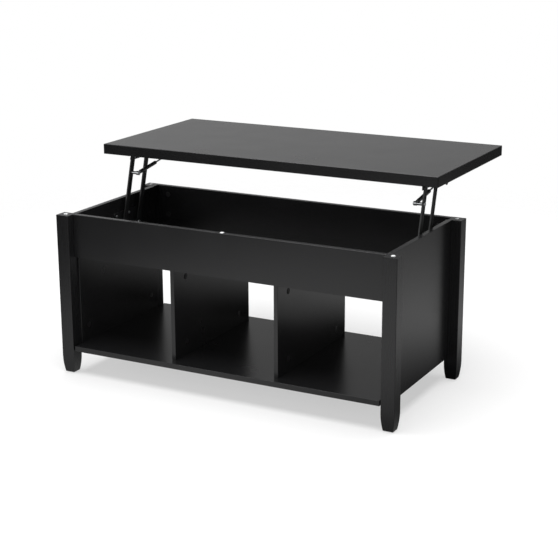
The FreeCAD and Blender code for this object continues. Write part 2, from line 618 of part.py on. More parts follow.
def strut_ends():
    """Y and Z of the stud and the anchor raised, and the distance between them when closed."""
    stud_y, stud_z = on_arm(FRONT_PIVOT_Y, STUD_ALONG_ARM)
    anchor_y = on_arm(FRONT_PIVOT_Y, ARM_LENGTH)[0] + ANCHOR_BEHIND_PIVOT
    anchor_z = UPPER_PIVOT_Z - ANCHOR_BELOW_PIVOT
    closed = math.radians(CLOSED_ANGLE)
    closed_y = anchor_y - LIFT_SHIFT - FRONT_PIVOT_Y - STUD_ALONG_ARM * math.cos(closed)
    closed_z = anchor_z - LIFT_HEIGHT - LOWER_PIVOT_Z - STUD_ALONG_ARM * math.sin(closed)
    return (stud_y, stud_z), (anchor_y, anchor_z), (closed_y, closed_z)


def eye(at, toward):
    """A ring about a cross pin, with a neck that reaches to the tube or rod."""
    ring = sideways(EYE_IN, EYE_OUT, at.y, at.z, EYE_DIAMETER)
    neck = peg(at, toward, EYE_TO_TUBE, EYE_NECK_DIAMETER)
    hole = sideways(EYE_IN, EYE_OUT, at.y, at.z, STUD_PIN_DIAMETER + 2 * PIVOT_CLEARANCE)
    return fused(ring, neck).cut(hole)


def make_struts():
    """On each side a strut turns on the front arm's stud and reaches back under the top."""
    stud, anchor, closed_span = strut_ends()
    closed_length = math.hypot(*closed_span)
    base = vec(STRUT_X, *stud)
    far = vec(STRUT_X, *anchor)
    along = (far - base).normalize()
    raised_length = (far - base).Length
    stroke = raised_length - closed_length
    tube_length = closed_length - 2 * EYE_TO_TUBE - TUBE_CLOSED_GAP
    tube_bore = TUBE_DIAMETER - 2 * TUBE_WALL

    tube_start = base + along * EYE_TO_TUBE
    tube = peg(tube_start, along, tube_length, TUBE_DIAMETER)
    cavity_start = tube_start + along * TUBE_END_WALL
    tube = tube.cut(peg(cavity_start, along, tube_length, tube_bore))
    cap_start = tube_start + along * (tube_length - TUBE_CAP_LENGTH)
    cap = peg(cap_start, along, TUBE_CAP_LENGTH, tube_bore)
    cap = cap.cut(peg(cap_start, along, TUBE_CAP_LENGTH, ROD_DIAMETER + 2 * PIVOT_CLEARANCE))
    piston_start = cavity_start + along * (PISTON_END_GAP + stroke)
    piston = peg(piston_start, along, PISTON_LENGTH, tube_bore - 2 * PISTON_CLEARANCE)
    rod_end = far - along * EYE_TO_TUBE
    rod = peg(piston_start, along, (rod_end - piston_start).Length, ROD_DIAMETER)

    pin_in = EYE_IN - CLIP_THICK - SIDE_CLEARANCE - STUD_TIP
    shoulder_in = EYE_OUT + SIDE_CLEARANCE
    head = sideways(ARM_OUT, ARM_OUT + RIVET_HEAD_THICK, *stud, RIVET_HEAD_DIAMETER)
    shank = sideways(ARM_IN, ARM_OUT, *stud, PIVOT_DIAMETER)
    shoulder = sideways(shoulder_in, ARM_IN, *stud, STUD_SHOULDER_DIAMETER)
    pin = sideways(pin_in, shoulder_in, *stud, STUD_PIN_DIAMETER)
    clip_out = EYE_IN - SIDE_CLEARANCE
    clip = sideways(clip_out - CLIP_THICK, clip_out, *stud, CLIP_DIAMETER)
    clip = clip.cut(sideways(clip_out - CLIP_THICK, clip_out, *stud, STUD_PIN_DIAMETER + 2 * PIVOT_CLEARANCE))

    anchor_body = sideways(EYE_OUT + ANCHOR_SIDE_GAP, WALL_IN, *anchor, STUD_SHOULDER_DIAMETER)
    anchor_tail = sideways(WALL_IN, WALL_OUT, *anchor, ANCHOR_TAIL_DIAMETER)

    for column, side in SIDES.items():
        boards["strut_base_eye_" + column] = mirrored(eye(base, along), side)
        boards["strut_tube_" + column] = mirrored(tube, side)
        boards["strut_cap_" + column] = mirrored(cap, side)
        boards["strut_rod_" + column] = mirrored(fused(piston, rod), side)
        boards["strut_rod_eye_" + column] = mirrored(eye(far, along * -1), side)
        boards["strut_stud_" + column] = mirrored(fused(head, shank, shoulder, pin), side)
        boards["strut_clip_" + column] = mirrored(clip, side)
        add("strut_anchor_pins", mirrored(fused(anchor_body, anchor_tail), side))

    closed_tilt = math.degrees(math.atan2(closed_span[1], closed_span[0]))
    raised_tilt = math.degrees(math.atan2(along.z, along.y))
    report("strut stud", vec(STRUT_X, *stud))
    report("strut anchor", far)
    report("strut direction, unshifted", along, False)
    print("strut stroke", round(stroke, 4), "strut tilt change", round(closed_tilt - raised_tilt, 5))


# ---------------------------------------------------------------- writing the pieces

def report(label, point, shift=True):
    y = point.y - ORIGIN_Y if shift else point.y
    print(label, round(point.x, 4), round(y, 4), round(point.z, 4))


def write(name, shape):
    moved = shape.copy()
    moved.translate(vec(0, -ORIGIN_Y, 0))
    moved.exportStep("parts/" + name + ".step")


make_legs()
make_aprons()
make_end_panels()
make_shelf_and_floor()
make_dividers()
make_table_top()
join_aprons()
join_end_panels()
join_level_boards()
join_dividers()
make_lower_brackets()
make_lower_pivots()
make_arms()
make_upper_brackets()
make_upper_pivots()
make_struts()

os.makedirs("parts", exist_ok=True)
for name, solid in boards.items():
    if name in bores:
        solid = solid.cut(bores[name])
    write(name, solid)
for name, solids in hardware.items():
    write(name, Part.makeCompound(solids))

print("lift turn", round(LIFT_TURN, 5), "lift shift", round(LIFT_SHIFT, 4), "origin y", round(ORIGIN_Y, 4))
report("lower front pivot", vec((ARM_IN + ARM_OUT) / 2, FRONT_PIVOT_Y, LOWER_PIVOT_Z))
report("upper front pivot", vec((ARM_IN + ARM_OUT) / 2, *on_arm(FRONT_PIVOT_Y, ARM_LENGTH)))
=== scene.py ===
import math

import bmesh
import bpy
from mathutils import Matrix, Vector


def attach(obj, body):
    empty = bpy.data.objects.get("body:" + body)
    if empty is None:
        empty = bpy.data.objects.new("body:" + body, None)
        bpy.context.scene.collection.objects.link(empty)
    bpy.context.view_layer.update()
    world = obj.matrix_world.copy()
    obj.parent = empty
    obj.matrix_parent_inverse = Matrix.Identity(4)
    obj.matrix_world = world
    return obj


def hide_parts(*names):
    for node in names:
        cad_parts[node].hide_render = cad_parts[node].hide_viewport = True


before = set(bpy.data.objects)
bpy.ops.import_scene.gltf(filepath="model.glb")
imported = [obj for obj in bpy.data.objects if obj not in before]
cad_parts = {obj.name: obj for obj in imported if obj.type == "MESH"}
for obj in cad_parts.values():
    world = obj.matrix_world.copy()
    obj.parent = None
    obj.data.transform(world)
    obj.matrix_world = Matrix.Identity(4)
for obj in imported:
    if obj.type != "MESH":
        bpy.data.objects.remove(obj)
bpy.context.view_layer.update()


# ------------------------------------------------------------------ legs
# Four square posts of solid hardwood, planed, eased along their edges and shaped to a smaller
# foot. They are sprayed with black lacquer, and the straight grain shows through it faintly.

def linear(code):
    """A hex colour as the eye reads it, turned to the linear values a shader works in."""
    parts = [int(code[i:i + 2], 16) / 255 for i in (1, 3, 5)]
    return [c / 12.92 if c <= 0.04045 else ((c + 0.055) / 1.055) ** 2.4 for c in parts] + [1.0]


def add_node(tree, kind, settings, links):
    """Adds a node with its settings, and feeds its sockets from other nodes' outputs."""
    node = tree.nodes.new(kind)
    for key, value in settings.items():
        if isinstance(key, str) and hasattr(node, key):
            setattr(node, key, value)
        else:
            node.inputs[key].default_value = value
    for key, source in links.items():
        tree.links.new(source, node.inputs[key])
    return node


def new_finish(name):
    """An empty material and its node tree."""
    finish = bpy.data.materials.new(name)
    finish.use_nodes = True
    finish.node_tree.nodes.clear()
    return finish, finish.node_tree


def coat(finish, *nodes):
    """Gives CAD pieces their finish."""
    for name in nodes:
        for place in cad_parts[name].material_slots:
            place.material = finish


# Black nitrocellulose lacquer on hardwood, sprayed: it gives a dark, even satin with soft, long
# streaks where the grain telegraphs. Streaks are drawn 3 mm wide, because real pores don't show.
black_lacquer, tree = new_finish("black lacquer on hardwood")
here = add_node(tree, "ShaderNodeTexCoord", {}, {}).outputs["Object"]
along = add_node(tree, "ShaderNodeMapping", {"Scale": (1 / 0.003, 1 / 0.003, 1 / 0.09)}, {"Vector": here})
streaks = add_node(tree, "ShaderNodeTexNoise", {"Scale": 1.0, "Detail": 3.0}, {
    "Vector": along.outputs["Vector"]})
tone = add_node(tree, "ShaderNodeMix", {"data_type": "RGBA", 6: linear("#161617"), 7: linear("#1c1c1d")}, {
    0: streaks.outputs["Fac"]})
gloss = add_node(tree, "ShaderNodeMapRange", {"To Min": 0.24, "To Max": 0.32}, {
    "Value": streaks.outputs["Fac"]})
relief = add_node(tree, "ShaderNodeBump", {"Strength": 0.12, "Distance": 0.0002}, {
    "Height": streaks.outputs["Fac"]})
skin = add_node(tree, "ShaderNodeBsdfPrincipled", {"IOR": 1.5}, {
    "Base Color": tone.outputs[2], "Roughness": gloss.outputs["Result"], "Normal": relief.outputs["Normal"]})
add_node(tree, "ShaderNodeOutputMaterial", {}, {"Surface": skin.outputs["BSDF"]})

coat(black_lacquer, "leg_front_left", "leg_front_right", "leg_rear_left", "leg_rear_right")


# ------------------------------------------------------------------ boards
# Particle board faced with black melamine paper and edged with black tape, pressed against a
# satin plate. The top, the aprons, the ends, the shelf, the dividers and the floor are cut from it.

# Black melamine paper, pressed: it gives a deep, nearly smooth satin, a little cloudy in its
# gloss. The plate's texture is about 0.2 mm and is drawn 1.5 mm wide so that it shows at all.
black_melamine, tree = new_finish("black melamine, satin pressed")
here = add_node(tree, "ShaderNodeTexCoord", {}, {}).outputs["Object"]
clouds = add_node(tree, "ShaderNodeTexNoise", {"Scale": 1 / 0.11, "Detail": 2.0}, {"Vector": here})
pores = add_node(tree, "ShaderNodeTexNoise", {"Scale": 1 / 0.0015, "Detail": 1.0}, {"Vector": here})
tone = add_node(tree, "ShaderNodeMix", {"data_type": "RGBA", 6: linear("#161617"), 7: linear("#1c1c1d")}, {
    0: clouds.outputs["Fac"]})
gloss = add_node(tree, "ShaderNodeMapRange", {"To Min": 0.23, "To Max": 0.29}, {
    "Value": clouds.outputs["Fac"]})
relief = add_node(tree, "ShaderNodeBump", {"Strength": 0.05, "Distance": 0.0001}, {
    "Height": pores.outputs["Fac"]})
skin = add_node(tree, "ShaderNodeBsdfPrincipled", {"IOR": 1.5}, {
    "Base Color": tone.outputs[2], "Roughness": gloss.outputs["Result"], "Normal": relief.outputs["Normal"]})
add_node(tree, "ShaderNodeOutputMaterial", {}, {"Surface": skin.outputs["BSDF"]})

coat(black_melamine, "front_apron", "rear_apron", "end_panel_left", "end_panel_right", "bottom_shelf")
coat(black_melamine, "divider_left", "divider_right", "compartment_floor", "table_top")


# ------------------------------------------------------------------ cam locks, bolts and dowels
# Die-cast zinc cams, turned a half turn with a screwdriver, draw plated steel bolts home, and
# fluted beech dowels keep the boards in line. All of them are sunk in the boards.

# Zinc alloy, die cast: a dull grey metal with a grainy, slightly blotched skin from the die.
cast_zinc, tree = new_finish("die-cast zinc")
here = add_node(tree, "ShaderNodeTexCoord", {}, {}).outputs["Object"]
grain = add_node(tree, "ShaderNodeTexNoise", {"Scale": 1 / 0.0008, "Detail": 2.0}, {"Vector": here})
tone = add_node(tree, "ShaderNodeMix", {"data_type": "RGBA", 6: linear("#8d9093"), 7: linear("#a9acae")}, {
    0: grain.outputs["Fac"]})
relief = add_node(tree, "ShaderNodeBump", {"Strength": 0.25, "Distance": 0.0001}, {
    "Height": grain.outputs["Fac"]})
skin = add_node(tree, "ShaderNodeBsdfPrincipled", {"Metallic": 1.0, "Roughness": 0.5}, {
    "Base Color": tone.outputs[2], "Normal": relief.outputs["Normal"]})
add_node(tree, "ShaderNodeOutputMaterial", {}, {"Surface": skin.outputs["BSDF"]})

# Bright zinc plating on steel: pale, clean and cool, with faint cloudiness from the bath.
bright_zinc, tree = new_finish("bright zinc plating")
here = add_node(tree, "ShaderNodeTexCoord", {}, {}).outputs["Object"]
bath = add_node(tree, "ShaderNodeTexNoise", {"Scale": 1 / 0.004, "Detail": 3.0}, {"Vector": here})
tone = add_node(tree, "ShaderNodeMix", {"data_type": "RGBA", 6: linear("#c3c7ca"), 7: linear("#dfe1e2")}, {
    0: bath.outputs["Fac"]})
gloss = add_node(tree, "ShaderNodeMapRange", {"To Min": 0.22, "To Max": 0.38}, {"Value": bath.outputs["Fac"]})
skin = add_node(tree, "ShaderNodeBsdfPrincipled", {"Metallic": 1.0}, {
    "Base Color": tone.outputs[2], "Roughness": gloss.outputs["Result"]})
add_node(tree, "ShaderNodeOutputMaterial", {}, {"Surface": skin.outputs["BSDF"]})

# Beech, turned and fluted: a pale pinkish brown with short darker flecks along the grain.
pale_beech, tree = new_finish("turned beech")
here = add_node(tree, "ShaderNodeTexCoord", {}, {}).outputs["Object"]
along = add_node(tree, "ShaderNodeMapping", {"Scale": (1 / 0.006, 1 / 0.0012, 1 / 0.0012)}, {"Vector": here})
flecks = add_node(tree, "ShaderNodeTexNoise", {"Scale": 1.0, "Detail": 4.0}, {
    "Vector": along.outputs["Vector"]})
tone = add_node(tree, "ShaderNodeMix", {"data_type": "RGBA", 6: linear("#b98d63"), 7: linear("#dcb88c")}, {
    0: flecks.outputs["Fac"]})
skin = add_node(tree, "ShaderNodeBsdfPrincipled", {"Roughness": 0.6, "IOR": 1.5}, {
    "Base Color": tone.outputs[2]})
add_node(tree, "ShaderNodeOutputMaterial", {}, {"Surface": skin.outputs["BSDF"]})

coat(cast_zinc, "cam_locks")
coat(bright_zinc, "cam_bolts")
coat(pale_beech, "wood_dowels")


# ------------------------------------------------------------------ cam covers
# Thin moulded plastic caps pressed over the cam locks. Each has a low crown and a soft rim, and
# they show as faint discs on the inner faces.

# Black polypropylene, moulded: a matt, faintly grained surface that looks a little greyer than
# the boards. The mould's grain is drawn 0.8 mm wide.
moulded_black, tree = new_finish("black polypropylene, moulded")
here = add_node(tree, "ShaderNodeTexCoord", {}, {}).outputs["Object"]
grain = add_node(tree, "ShaderNodeTexNoise", {"Scale": 1 / 0.0008, "Detail": 2.0}, {"Vector": here})
tone = add_node(tree, "ShaderNodeMix", {"data_type": "RGBA", 6: linear("#131314"), 7: linear("#1d1d1e")}, {
    0: grain.outputs["Fac"]})
relief = add_node(tree, "ShaderNodeBump", {"Strength": 0.15, "Distance": 0.0001}, {
    "Height": grain.outputs["Fac"]})
skin = add_node(tree, "ShaderNodeBsdfPrincipled", {"Roughness": 0.5, "IOR": 1.49}, {
    "Base Color": tone.outputs[2], "Normal": relief.outputs["Normal"]})
add_node(tree, "ShaderNodeOutputMaterial", {}, {"Surface": skin.outputs["BSDF"]})


def separate_solids(node):
    """The corners of each separate solid of a CAD node, from a merged copy of its mesh."""
    copy = bmesh.new()
    copy.from_mesh(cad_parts[node].data)
    bmesh.ops.remove_doubles(copy, verts=copy.verts, dist=1e-6)
    left, solids = set(copy.verts), []
    while left:
        to_visit = [left.pop()]
        found = []
        while to_visit:
            corner = to_visit.pop()
            found.append(corner.co.copy())
            for edge in corner.link_edges:
                neighbour = edge.other_vert(corner)
                if neighbour in left:
                    left.remove(neighbour)
                    to_visit.append(neighbour)
        solids.append(found)
    copy.free()
    return solids


def heads_of(node, axis):
    """The middle of each solid's outer face and its outward direction: the end where it is widest."""
    places = []
    for corners in separate_solids(node):
        low = Vector([min(c[i] for c in corners) for i in range(3)])
        high = Vector([max(c[i] for c in corners) for i in range(3)])
        middle = (low + high) / 2
        thin = axis if axis is not None else min((0, 1), key=lambda i: high[i] - low[i])
        u, v = [i for i in range(3) if i != thin]
        reach = [math.hypot(c[u] - middle[u], c[v] - middle[v]) for c in corners]
        widest = [c[thin] for c, r in zip(corners, reach) if r > 0.98 * max(reach)]
        out = Vector((0, 0, 0))
        out[thin] = 1 if sum(widest) / len(widest) > middle[thin] else -1
        face = middle.copy()
        face[thin] = high[thin] if out[thin] > 0 else low[thin]
        places.append((face, out))
    return places


def turned_fastener(name):
    """A node tree that puts a round head, with a crown, a cross recess and a shank, at every point."""
    tree = bpy.data.node_groups.new(name, "GeometryNodeTree")
    tree.interface.new_socket("Places", in_out="INPUT", socket_type="NodeSocketGeometry")
    sizes = ("Head Diameter", "Head Height", "Crown", "Shank Diameter", "Shank Length",
             "Cross Length", "Cross Width", "Cross Depth")
    for size in sizes:
        tree.interface.new_socket(size, in_out="INPUT", socket_type="NodeSocketFloat")
    tree.interface.new_socket("Finish", in_out="INPUT", socket_type="NodeSocketMaterial")
    tree.interface.new_socket("Fasteners", in_out="OUTPUT", socket_type="NodeSocketGeometry")
    given = add_node(tree, "NodeGroupInput", {}, {}).outputs

    radius = add_node(tree, "ShaderNodeMath", {"operation": "MULTIPLY", 1: 0.5}, {
        0: given["Head Diameter"]}).outputs[0]
    half_height = add_node(tree, "ShaderNodeMath", {"operation": "MULTIPLY", 1: 0.5}, {
        0: given["Head Height"]}).outputs[0]
    blank = add_node(tree, "GeometryNodeMeshCylinder", {
        "Vertices": 32, "Side Segments": 3, "Fill Segments": 6}, {
        "Radius": radius, "Depth": given["Head Height"]}).outputs["Mesh"]
    spot = add_node(tree, "GeometryNodeInputPosition", {}, {}).outputs[0]
    axes = add_node(tree, "ShaderNodeSeparateXYZ", {}, {"Vector": spot}).outputs
    out_x = add_node(tree, "ShaderNodeMath", {"operation": "MULTIPLY"}, {
        0: axes["X"], 1: axes["X"]}).outputs[0]
    out_squared = add_node(tree, "ShaderNodeMath", {"operation": "MULTIPLY_ADD"}, {
        0: axes["Y"], 1: axes["Y"], 2: out_x}).outputs[0]
    rim_squared = add_node(tree, "ShaderNodeMath", {"operation": "MULTIPLY"}, {
        0: radius, 1: radius}).outputs[0]
    share = add_node(tree, "ShaderNodeMath", {"operation": "DIVIDE"}, {
        0: out_squared, 1: rim_squared}).outputs[0]
    steep = add_node(tree, "ShaderNodeMath", {"operation": "POWER", 1: 1.6}, {0: share}).outputs[0]
    drop = add_node(tree, "ShaderNodeMath", {"operation": "MULTIPLY"}, {
        0: steep, 1: given["Crown"]}).outputs[0]
    fall = add_node(tree, "ShaderNodeMath", {"operation": "MULTIPLY", 1: -1.0}, {0: drop}).outputs[0]
    shift = add_node(tree, "ShaderNodeCombineXYZ", {}, {"Z": fall}).outputs[0]
    above = add_node(tree, "FunctionNodeCompare", {"operation": "GREATER_THAN", 1: 0.0}, {
        0: axes["Z"]}).outputs[0]
    crowned = add_node(tree, "GeometryNodeSetPosition", {}, {
        "Geometry": blank, "Selection": above, "Offset": shift}).outputs[0]

    sunk = add_node(tree, "ShaderNodeMath", {"operation": "SUBTRACT"}, {
        0: half_height, 1: given["Cross Depth"]}).outputs[0]
    depth = add_node(tree, "ShaderNodeMath", {"operation": "MULTIPLY", 1: 2.0}, {
        0: given["Cross Depth"]}).outputs[0]
    level = add_node(tree, "ShaderNodeMath", {"operation": "ADD"}, {
        0: sunk, 1: given["Cross Depth"]}).outputs[0]
    middle = add_node(tree, "ShaderNodeCombineXYZ", {}, {"Z": level}).outputs[0]
    bar_size = add_node(tree, "ShaderNodeCombineXYZ", {}, {
        "X": given["Cross Length"], "Y": given["Cross Width"], "Z": depth}).outputs[0]
    bar = add_node(tree, "GeometryNodeMeshCube", {}, {"Size": bar_size}).outputs["Mesh"]
    one = add_node(tree, "GeometryNodeTransform", {}, {"Geometry": bar, "Translation": middle}).outputs[0]
    other = add_node(tree, "GeometryNodeTransform", {"Rotation": (0, 0, math.pi / 2)}, {
        "Geometry": bar, "Translation": middle}).outputs[0]
    cut = add_node(tree, "GeometryNodeMeshBoolean", {"operation": "DIFFERENCE"}, {0: crowned})
    tree.links.new(one, cut.inputs[1])
    tree.links.new(other, cut.inputs[1])
    has_cross = add_node(tree, "FunctionNodeCompare", {"operation": "GREATER_THAN", 1: 0.0}, {
        0: given["Cross Length"]}).outputs[0]
    head = add_node(tree, "GeometryNodeSwitch", {"input_type": "GEOMETRY"}, {
        "Switch": has_cross, "False": crowned, "True": cut.outputs[0]}).outputs[0]
    down = add_node(tree, "ShaderNodeMath", {"operation": "MULTIPLY", 1: -1.0}, {0: half_height}).outputs[0]
    head_spot = add_node(tree, "ShaderNodeCombineXYZ", {}, {"Z": down}).outputs[0]
    seated = add_node(tree, "GeometryNodeTransform", {}, {
        "Geometry": head, "Translation": head_spot}).outputs[0]

    shank_radius = add_node(tree, "ShaderNodeMath", {"operation": "MULTIPLY", 1: 0.5}, {
        0: given["Shank Diameter"]}).outputs[0]
    shank = add_node(tree, "GeometryNodeMeshCylinder", {"Vertices": 16}, {
        "Radius": shank_radius, "Depth": given["Shank Length"]}).outputs["Mesh"]
    under = add_node(tree, "ShaderNodeMath", {"operation": "MULTIPLY_ADD", 1: -0.5, 2: 0.0}, {
        0: given["Shank Length"]}).outputs[0]
    below = add_node(tree, "ShaderNodeMath", {"operation": "SUBTRACT"}, {0: under, 1: half_height}).outputs[0]
    shank_spot = add_node(tree, "ShaderNodeCombineXYZ", {}, {"Z": below}).outputs[0]
    driven = add_node(tree, "GeometryNodeTransform", {}, {
        "Geometry": shank, "Translation": shank_spot}).outputs[0]

    whole = add_node(tree, "GeometryNodeJoinGeometry", {}, {0: seated})
    tree.links.new(driven, whole.inputs[0])
    angle = add_node(tree, "GeometryNodeInputMeshEdgeAngle", {}, {}).outputs["Unsigned Angle"]
    soft = add_node(tree, "FunctionNodeCompare", {"operation": "LESS_THAN", 1: math.radians(35)}, {
        0: angle}).outputs[0]
    smooth = add_node(tree, "GeometryNodeSetShadeSmooth", {"domain": "EDGE"}, {
        0: whole.outputs[0], "Shade Smooth": soft}).outputs[0]
    facing = add_node(tree, "GeometryNodeInputNamedAttribute", {
        "data_type": "FLOAT_VECTOR", "Name": "facing"}, {}).outputs[0]
    turn = add_node(tree, "FunctionNodeAlignRotationToVector", {"axis": "Z"}, {"Vector": facing}).outputs[0]
    laid = add_node(tree, "GeometryNodeInstanceOnPoints", {}, {
        "Points": given["Places"], "Instance": smooth, "Rotation": turn}).outputs[0]
    real = add_node(tree, "GeometryNodeRealizeInstances", {}, {0: laid}).outputs[0]
    dressed = add_node(tree, "GeometryNodeSetMaterial", {}, {
        "Geometry": real, "Material": given["Finish"]}).outputs[0]
    add_node(tree, "NodeGroupOutput", {}, {0: dressed})
    return tree


fastener_tree = turned_fastener("turned fastener")


def fasteners(name, places, finish, **sizes):
    """One plain mesh that holds a fastener at every place, in millimetre sizes given by name."""
    spots = bpy.data.meshes.new(name)
    spots.from_pydata([face for face, _ in places], [], [])
    facing = spots.attributes.new("facing", "FLOAT_VECTOR", "POINT")
    for entry, (_, out) in zip(facing.data, places):
        entry.vector = out
    rack = bpy.data.objects.new(name + "_rack", spots)
    bpy.context.collection.objects.link(rack)
    maker = rack.modifiers.new("maker", "NODES")
    maker.node_group = fastener_tree
    for socket in fastener_tree.interface.items_tree:
        if socket.in_out == "INPUT" and socket.socket_type == "NodeSocketFloat":
            size = sizes.get(socket.name.lower().replace(" ", "_"), 0.0)
            maker[socket.identifier] = size / 1000
        elif socket.in_out == "INPUT" and socket.socket_type == "NodeSocketMaterial":
            maker[socket.identifier] = finish
    rack.update_tag()
    ready = rack.evaluated_get(bpy.context.evaluated_depsgraph_get())
    mesh = bpy.data.meshes.new_from_object(ready)
    bpy.data.objects.remove(rack)
    piece = bpy.data.objects.new(name, mesh)
    bpy.context.collection.objects.link(piece)
    return piece


covers = fasteners("domed_cam_covers", heads_of("cam_covers", None), moulded_black,
                   head_diameter=16.5, head_height=0.8, crown=0.35, shank_diameter=14.6, shank_length=0.8)
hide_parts("cam_covers")
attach(covers, "carcass")


# ------------------------------------------------------------------ foot glides
# Moulded plastic discs nailed under the feet, so that the table slides without marking a floor.

glides = fasteners("nailed_foot_glides", heads_of("foot_glides", 2), moulded_black,
                   head_diameter=20.0, head_height=2.5, crown=0.5, shank_diameter=2.4, shank_length=14.0)
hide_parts("foot_glides")
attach(glides, "carcass")


# ------------------------------------------------------------------ lid bumpers
# Soft clear pads stuck to the tops of the legs and the front apron. They stop the closed top from
# knocking, and catch the light as small bright spots.

# Clear polyurethane, cast: milky and glossy, and bright where light gathers inside it.
clear_pad, tree = new_finish("clear polyurethane, cast")
here = add_node(tree, "ShaderNodeTexCoord", {}, {}).outputs["Object"]
haze = add_node(tree, "ShaderNodeTexNoise", {"Scale": 1 / 0.003, "Detail": 1.0}, {"Vector": here})
tone = add_node(tree, "ShaderNodeMix", {"data_type": "RGBA", 6: linear("#eef1f2"), 7: linear("#ffffff")}, {
    0: haze.outputs["Fac"]})
skin = add_node(tree, "ShaderNodeBsdfPrincipled", {
    "Roughness": 0.12, "IOR": 1.49, "Transmission Weight": 0.25}, {
    "Base Color": tone.outputs[2]})
add_node(tree, "ShaderNodeOutputMaterial", {}, {"Surface": skin.outputs["BSDF"]})

bumpers = fasteners("domed_lid_bumpers", heads_of("lid_bumpers", 2), clear_pad,
                    head_diameter=12.0, head_height=2.3, crown=1.3)
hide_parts("lid_bumpers")
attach(bumpers, "carcass")


# ------------------------------------------------------------------ lift arms and brackets
# Flat steel arms with a rib pressed along them, and bent sheet steel brackets, one pair screwed
# inside the ends and one pair under the top. All are blanked, pressed and coated black.

# Black cathodic paint on steel: thin and satin, with a faint orange peel 2 mm wide.
painted_steel, tree = new_finish("black paint on pressed steel")
here = add_node(tree, "ShaderNodeTexCoord", {}, {}).outputs["Object"]
peel = add_node(tree, "ShaderNodeTexNoise", {"Scale": 1 / 0.002, "Detail": 1.0}, {"Vector": here})
wear = add_node(tree, "ShaderNodeTexNoise", {"Scale": 1 / 0.02, "Detail": 3.0}, {"Vector": here})
tone = add_node(tree, "ShaderNodeMix", {"data_type": "RGBA", 6: linear("#101112"), 7: linear("#1b1c1d")}, {
    0: wear.outputs["Fac"]})
gloss = add_node(tree, "ShaderNodeMapRange", {"To Min": 0.38, "To Max": 0.5}, {"Value": wear.outputs["Fac"]})
relief = add_node(tree, "ShaderNodeBump", {"Strength": 0.1, "Distance": 0.0001}, {
    "Height": peel.outputs["Fac"]})
skin = add_node(tree, "ShaderNodeBsdfPrincipled", {"IOR": 1.55}, {
    "Base Color": tone.outputs[2], "Roughness": gloss.outputs["Result"], "Normal": relief.outputs["Normal"]})
add_node(tree, "ShaderNodeOutputMaterial", {}, {"Surface": skin.outputs["BSDF"]})

coat(painted_steel, "arm_front_left", "arm_front_right", "arm_rear_left", "arm_rear_right")
coat(painted_steel, "lower_bracket_left", "lower_bracket_right", "upper_bracket_left", "upper_bracket_right")
coat(moulded_black, "lower_spacers")
coat(bright_zinc, "lower_washers", "upper_washers")


# ------------------------------------------------------------------ screws
# Pan-head steel screws with a cross recess, zinc plated. Three hold each lower bracket to an end
# panel and four hold each upper bracket up to the top.

for node, body, axis in (("lower_bracket_screws", "carcass", 0), ("upper_bracket_screws", "top", 2)):
    screws = fasteners("pan_head_" + node, heads_of(node, axis), bright_zinc,
                       head_diameter=8.0, head_height=2.2, crown=1.2, shank_diameter=4.0, shank_length=12.0,
                       cross_length=4.2, cross_width=1.0, cross_depth=1.3)
    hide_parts(node)
    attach(screws, body)


# ------------------------------------------------------------------ rivets
# Cold-headed steel rivets that the arms turn on, zinc plated, with a low domed head. Their shanks
# fill the brackets, and their other ends are peened over.

coat(bright_zinc, "lower_rivets", "upper_rivets")


# ------------------------------------------------------------------ gas struts
# A painted steel tube holds a chromed rod, and pushes the top up. Each end has a plated steel eye,
# one on the front arm's stud behind a spring clip and one on a pin under the top.

# Gloss graphite enamel on drawn steel tube: smooth and dark grey, with clear highlights along it.
gloss_enamel, tree = new_finish("gloss graphite enamel on steel tube")
here = add_node(tree, "ShaderNodeTexCoord", {}, {}).outputs["Object"]
flow = add_node(tree, "ShaderNodeTexNoise", {"Scale": 1 / 0.01, "Detail": 2.0}, {"Vector": here})
tone = add_node(tree, "ShaderNodeMix", {"data_type": "RGBA", 6: linear("#343435"), 7: linear("#3c3c3d")}, {
    0: flow.outputs["Fac"]})
gloss = add_node(tree, "ShaderNodeMapRange", {"To Min": 0.10, "To Max": 0.18}, {"Value": flow.outputs["Fac"]})
skin = add_node(tree, "ShaderNodeBsdfPrincipled", {"IOR": 1.52}, {
    "Base Color": tone.outputs[2], "Roughness": gloss.outputs["Result"]})
add_node(tree, "ShaderNodeOutputMaterial", {}, {"Surface": skin.outputs["BSDF"]})

# Hard chrome on a ground rod: nearly a mirror, with fine rings from grinding drawn 0.6 mm apart.
hard_chrome, tree = new_finish("hard chrome, ground")
here = add_node(tree, "ShaderNodeTexCoord", {}, {}).outputs["Object"]
rings = add_node(tree, "ShaderNodeTexNoise", {"Scale": 1 / 0.0006, "Detail": 1.0}, {"Vector": here})
gloss = add_node(tree, "ShaderNodeMapRange", {"To Min": 0.05, "To Max": 0.12}, {
    "Value": rings.outputs["Fac"]})
skin = add_node(tree, "ShaderNodeBsdfPrincipled", {"Base Color": linear("#dcdddf"), "Metallic": 1.0}, {
    "Roughness": gloss.outputs["Result"]})
add_node(tree, "ShaderNodeOutputMaterial", {}, {"Surface": skin.outputs["BSDF"]})

for side in ("left", "right"):
    coat(gloss_enamel, "strut_tube_" + side, "strut_cap_" + side)
    coat(hard_chrome, "strut_rod_" + side)
    coat(bright_zinc, "strut_base_eye_" + side, "strut_rod_eye_" + side, "strut_stud_" + side,
        "strut_clip_" + side)
coat(bright_zinc, "strut_anchor_pins")


# ------------------------------------------------------------------ floor, lights and camera
# A round pale floor that fades into a white surround, so that there is no horizon, lit by a broad
# soft box overhead and four walls of lit cloth.

